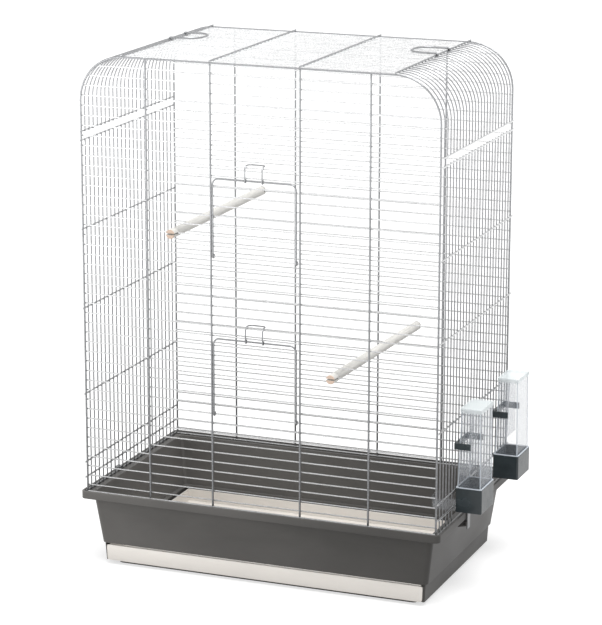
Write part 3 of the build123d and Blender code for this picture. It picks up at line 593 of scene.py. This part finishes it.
class BIRDCAGE_OT_wires(bpy.types.Operator):
    """Wire body: plated bars, rails and frames, with a weld spot at each crossing"""

    bl_idname = "birdcage.wires"
    bl_label = "Wire body"

    def execute(self, context):
        zinc_painted_light, zinc_painted_shade = finish("zinc with painted light"), finish("zinc with painted shade")
        # Painted light and shade: sills, cross bars, side rails and roof bars get the pale zinc, the
        # rest and the welds the dark zinc, though all are one plating.
        for panel in ("front", "back"):
            dress([f"{panel}_sill", f"{panel}_bars"], zinc_painted_light)
            dress([f"{panel}_frame", f"{panel}_uprights"], zinc_painted_shade)
        for side in ("left", "right"):
            dress([f"{side}_rails"], zinc_painted_light)
            dress([f"{side}_bars", f"{side}_shoulder_bars"], zinc_painted_shade)
        dress(["roof_bars"], zinc_painted_light)
        dress(["roof_rails", "latch_pins"], zinc_painted_shade)
        welds = self.welds(context.scene.cage_sizes)
        piece("weld_spots", [welds], zinc_painted_shade, "cage")
        return {"FINISHED"}

    def welds(self, size):
        """A spot where each two wires cross: on the front and its mirror image at the back, on
        both sides, and on the roof."""
        half = high("front_sill").x
        levels = wire_places("front_bars", "z", size.bar_radius, size.bar_pitch)
        uprights = (-half, -size.upright, size.bay_left, size.bay_right, size.upright, half)
        x, z = crossings(uprights, levels)
        shoulder = high("front_frame").z - size.frame_radius - size.shoulder
        straight = (np.abs(x) < half - size.bar_radius) | (z <= shoulder)
        x, z = x[straight], z[straight]
        front = np.stack([x, np.full_like(x, high("front_uprights").y), z], axis=1)
        back = front * (1, -1, 1)

        side_bars = wire_places("left_bars", "y", size.bar_radius, size.side_pitch)
        y, z = crossings(side_bars, SIDE_RAILS)
        right = np.stack([np.full_like(y, half + size.frame_radius), y, z], axis=1)
        left = right * (-1, 1, 1)
        cut_away = (z < SIDE_RAILS[1]) & self.at_feeder(y)
        right = right[~cut_away]

        roof_left, roof_right = wire_ends("roof_rails", "x", size.rail_radius)
        x, y = crossings((roof_right, size.bay_right, size.bay_left, roof_left), side_bars)
        roof = np.stack([x, y, np.full_like(x, low("roof_rails").z)], axis=1)

        wide, thin = size.weld, size.weld_rise
        radii = np.vstack([
            np.tile((wide, thin, wide), (len(front) + len(back), 1)),
            np.tile((thin, wide, wide), (len(left) + len(right), 1)),
            np.tile((wide, wide, thin), (len(roof), 1)),
        ])
        return spots(np.vstack([front, back, left, right, roof]), radii)

    def at_feeder(self, y):
        """Which places along the right side lie at a feeder way."""
        inside = np.zeros(len(y), bool)
        for name in FEEDERS:
            cup = f"{name}_feeder_cup"
            inside |= (y > low(cup).y) & (y < high(cup).y)
        return inside


class BIRDCAGE_OT_doors(bpy.types.Operator):
    """Flap doors and their wire latches, with a weld spot at each end of a bar"""

    bl_idname = "birdcage.doors"
    bl_label = "Doors"

    def execute(self, context):
        size = context.scene.cage_sizes
        zinc_painted_light, zinc_painted_shade = finish("zinc with painted light"), finish("zinc with painted shade")
        # Painted light and shade: the door bars get the pale zinc, the frames, latches and welds the
        # dark zinc, though all are one plating.
        for name in ("upper", "lower"):
            bars = f"{name}_door_bars"
            dress([f"{name}_door_frame", f"{name}_door_latch"], zinc_painted_shade)
            dress([bars], zinc_painted_light)
            levels = wire_places(bars, "z", size.bar_radius, size.bar_pitch)
            x, z = crossings(wire_ends(bars, "x", size.bar_radius), levels)
            centres = np.stack([x, np.full_like(x, low(bars).y), z], axis=1)
            radii = np.tile((size.weld, size.weld_rise, size.weld), (len(centres), 1))
            welds = spots(centres, radii)
            piece(f"{name}_door_welds", [welds], zinc_painted_shade, f"{name}_door")
        return {"FINISHED"}


class BIRDCAGE_OT_handles(bpy.types.Operator):
    """Folding carrying loops on the roof"""

    bl_idname = "birdcage.handles"
    bl_label = "Carrying handles"

    def execute(self, context):
        # Dark zinc: painted shade on the same plating as the bars.
        dress(["left_handle", "right_handle"], finish("zinc with painted shade"))
        return {"FINISHED"}


class BIRDCAGE_OT_perches(bpy.types.Operator):
    """Birch dowels across the cage"""

    bl_idname = "birdcage.perches"
    bl_label = "Perches"

    def execute(self, context):
        colours = context.scene.cage_colours
        for name, turn in PERCH_TURNS:
            perch = f"{name}_perch"
            front, back = low(perch).y, high(perch).y
            dress([perch], birch_finish(f"birch {name}", colours, turn, front, back))
        return {"FINISHED"}


class BIRDCAGE_OT_feeders(bpy.types.Operator):
    """Clip-on feeders: dark cup and holder, clear dish, tower and lid"""

    bl_idname = "birdcage.feeders"
    bl_label = "Feeders"

    def execute(self, context):
        for name in FEEDERS:
            dress([f"{name}_feeder_cup", f"{name}_feeder_holder"], finish("slate plastic"))
            dress([f"{name}_feeder_dish"], finish("clear dish"))
            dress([f"{name}_feeder_hopper"], finish("clear wall"))
            dress([f"{name}_feeder_lid"], finish("hazy lid"))
            self.trim(name, context.scene.cage_sizes)
        return {"FINISHED"}

    def trim(self, name, size):
        """Thick clear corners up the tower, and the bead at its foot that rests on the cup's rim. A
        corner is a small rounded square carried along the line that the walls lean by. Their finish
        is paler and less see-through than the walls: a painted highlight along these edges."""
        cup, tower = f"{name}_feeder_cup", f"{name}_feeder_hopper"
        thick = size.tower_edge
        near, far = low(tower).x + thick, high(tower).x - thick
        middle_x, middle_y = (near + far) / 2, (low(cup).y + high(cup).y) / 2
        half_y = (high(tower).y - low(tower).y) / 2
        foot, head = high(cup).z + size.clearance, high(tower).z - thick
        parts = []
        for x, lean in ((near, size.tower_lean), (far, -size.outer_lean)):
            for y in (middle_y - half_y + thick, middle_y + half_y - thick):
                ends = ((x, foot), (x + lean, head))
                rings = [(at, y, thick, thick, thick / 3, level) for at, level in ends]
                parts.append(skin(carried(rings, corner_steps=3), start_cap=True, end_cap=True))

        inner_x, inner_y = (far - near) / 2 + thick, half_y + size.sliver
        outer_x, outer_y = inner_x + size.bead, inner_y + size.bead
        corner, inside = size.bead_corner, size.tower_turn
        top = foot + size.bead_rise
        profile = [
            (middle_x, middle_y, outer_x, outer_y, corner, foot),
            (middle_x, middle_y, outer_x, outer_y, corner, top),
            (middle_x, middle_y, inner_x, inner_y, inside, top),
            (middle_x, middle_y, inner_x, inner_y, inside, foot),
        ]
        rings = softened(profile, size.small_edge, closed=True)
        parts.append(skin(carried(rings, corner_steps=6), closed=True))
        # The corners and bead are real shapes; their pale finish is a painted highlight.
        edge = finish("clear edge with painted highlight")
        piece(f"{name}_tower_trim", parts, edge, f"{name}_hopper")


class BIRDCAGE_OT_side_latches(bpy.types.Operator):
    """Plated swinging clips that hold the wire body down on the tray"""

    bl_idname = "birdcage.side_latches"
    bl_label = "Side latches"

    def execute(self, context):
        # Dark zinc: painted shade on the same plating as the bars.
        dress(["left_latch", "right_latch"], finish("zinc with painted shade"))
        return {"FINISHED"}


def background(tree, lighting, seen):
    """One strength for rays that light the scene, and another for rays that show what lies behind
    it: from the camera, off gloss or through clear plastic."""
    path = tree.nodes.new("ShaderNodeLightPath")
    shows = path.outputs["Is Camera Ray"]
    for kind in ("Is Glossy Ray", "Is Transmission Ray"):
        shows = worked(tree, "MAXIMUM", shows, path.outputs[kind])
    return ranged(tree, shows, lighting, seen, from_low=0.0, from_high=1.0)


class BIRDCAGE_OT_stage(bpy.types.Operator):
    """Pale floor, soft daylight and the camera"""

    bl_idname = "birdcage.stage"
    bl_label = "Stage"

    def execute(self, context):
        self.floor()
        self.light()
        self.camera()
        context.scene.view_settings.view_transform = "Standard"
        return {"FINISHED"}

    def put(self, name, data, place=(0, 0, 0), turn=(0, 0, 0)):
        """New object of the stage, at a place and turned."""
        made = bpy.data.objects.new(name, data)
        made.location = place
        made.rotation_euler = turn
        bpy.context.scene.collection.objects.link(made)
        return made

    def floor(self):
        """Wide matt floor with a glow that only shows, so that it fades into the backdrop."""
        mesh = bpy.data.meshes.new("floor")
        reach = 40.0
        corners = [(-reach, -reach, 0), (reach, -reach, 0), (reach, reach, 0), (-reach, reach, 0)]
        mesh.from_pydata(corners, [], [(0, 1, 2, 3)])
        material = bpy.data.materials.new("pale floor")
        material.use_nodes = True
        tree = material.node_tree
        tree.nodes.remove(tree.nodes["Principled BSDF"])
        matt = tree.nodes.new("ShaderNodeBsdfDiffuse")
        matt.inputs["Color"].default_value = (0.48, 0.48, 0.48, 1)
        glow = tree.nodes.new("ShaderNodeEmission")
        strength = background(tree, lighting=0.0, seen=0.64)
        tree.links.new(strength, glow.inputs["Strength"])
        both = tree.nodes.new("ShaderNodeAddShader")
        tree.links.new(matt.outputs[0], both.inputs[0])
        tree.links.new(glow.outputs[0], both.inputs[1])
        tree.links.new(both.outputs[0], tree.nodes["Material Output"].inputs["Surface"])
        mesh.materials.append(material)
        floor = self.put("floor", mesh)

    def light(self):
        """White surroundings, a high soft sun, and a weak disk of light low on the left."""
        world = bpy.data.worlds.new("studio")
        bpy.context.scene.world = world
        world.use_nodes = True
        tree = world.node_tree
        backdrop = tree.nodes["Background"]
        backdrop.inputs["Color"].default_value = (1, 1, 1, 1)
        strength = background(tree, lighting=0.6, seen=1.0)
        tree.links.new(strength, backdrop.inputs["Strength"])
        sun = bpy.data.lights.new("key", "SUN")
        sun.energy = 2.4
        sun.angle = math.radians(35)
        self.put("key", sun, turn=(math.radians(15), 0, math.radians(35)))
        disk = bpy.data.lights.new("fill", "AREA")
        disk.shape = "DISK"
        disk.size = 0.8
        disk.energy = 5
        self.put("fill", disk, (-1.0, -1.1, 0.4), (math.radians(77), 0, math.radians(-45)))

    def camera(self):
        """Camera with a long lens, in front on the right and a little above."""
        data = bpy.data.cameras.new("camera")
        data.sensor_width = 36.0
        data.lens = 155.8
        data.clip_end = 200.0
        place = (1.4759, -3.6991, 1.3952)
        down, roll, aside = 0.2482, -0.0008, 0.3791
        turn = (math.pi / 2 - down, roll, aside)
        bpy.context.scene.camera = self.put("camera", data, place, turn)


class BIRDCAGE_PT_panel(bpy.types.Panel):
    """Buttons and values of the bird cage"""

    bl_idname = "BIRDCAGE_PT_panel"
    bl_label = "Bird cage"
    bl_space_type = "VIEW_3D"
    bl_region_type = "UI"
    bl_category = "Bird cage"

    def draw(self, context):
        for made in OPERATORS:
            self.layout.operator(made.bl_idname)
        for group in (context.scene.cage_sizes, context.scene.cage_colours):
            for name in group.__annotations__:
                self.layout.prop(group, name)


OPERATORS = (
    BIRDCAGE_OT_tray,
    BIRDCAGE_OT_drawer,
    BIRDCAGE_OT_wires,
    BIRDCAGE_OT_doors,
    BIRDCAGE_OT_handles,
    BIRDCAGE_OT_perches,
    BIRDCAGE_OT_feeders,
    BIRDCAGE_OT_side_latches,
    BIRDCAGE_OT_stage,
)
CLASSES = (CageSizes, CageColours, *OPERATORS, BIRDCAGE_PT_panel)


def register():
    for made in CLASSES:
        bpy.utils.register_class(made)
    bpy.types.Scene.cage_sizes = bpy.props.PointerProperty(type=CageSizes)
    bpy.types.Scene.cage_colours = bpy.props.PointerProperty(type=CageColours)


def unregister():
    del bpy.types.Scene.cage_colours
    del bpy.types.Scene.cage_sizes
    for made in reversed(CLASSES):
        bpy.utils.unregister_class(made)


def main():
    register()
    bpy.ops.birdcage.tray()
    bpy.ops.birdcage.drawer()
    bpy.ops.birdcage.wires()
    bpy.ops.birdcage.doors()
    bpy.ops.birdcage.handles()
    bpy.ops.birdcage.perches()
    bpy.ops.birdcage.feeders()
    bpy.ops.birdcage.side_latches()
    bpy.ops.birdcage.stage()


if __name__ == "__main__":
    main()
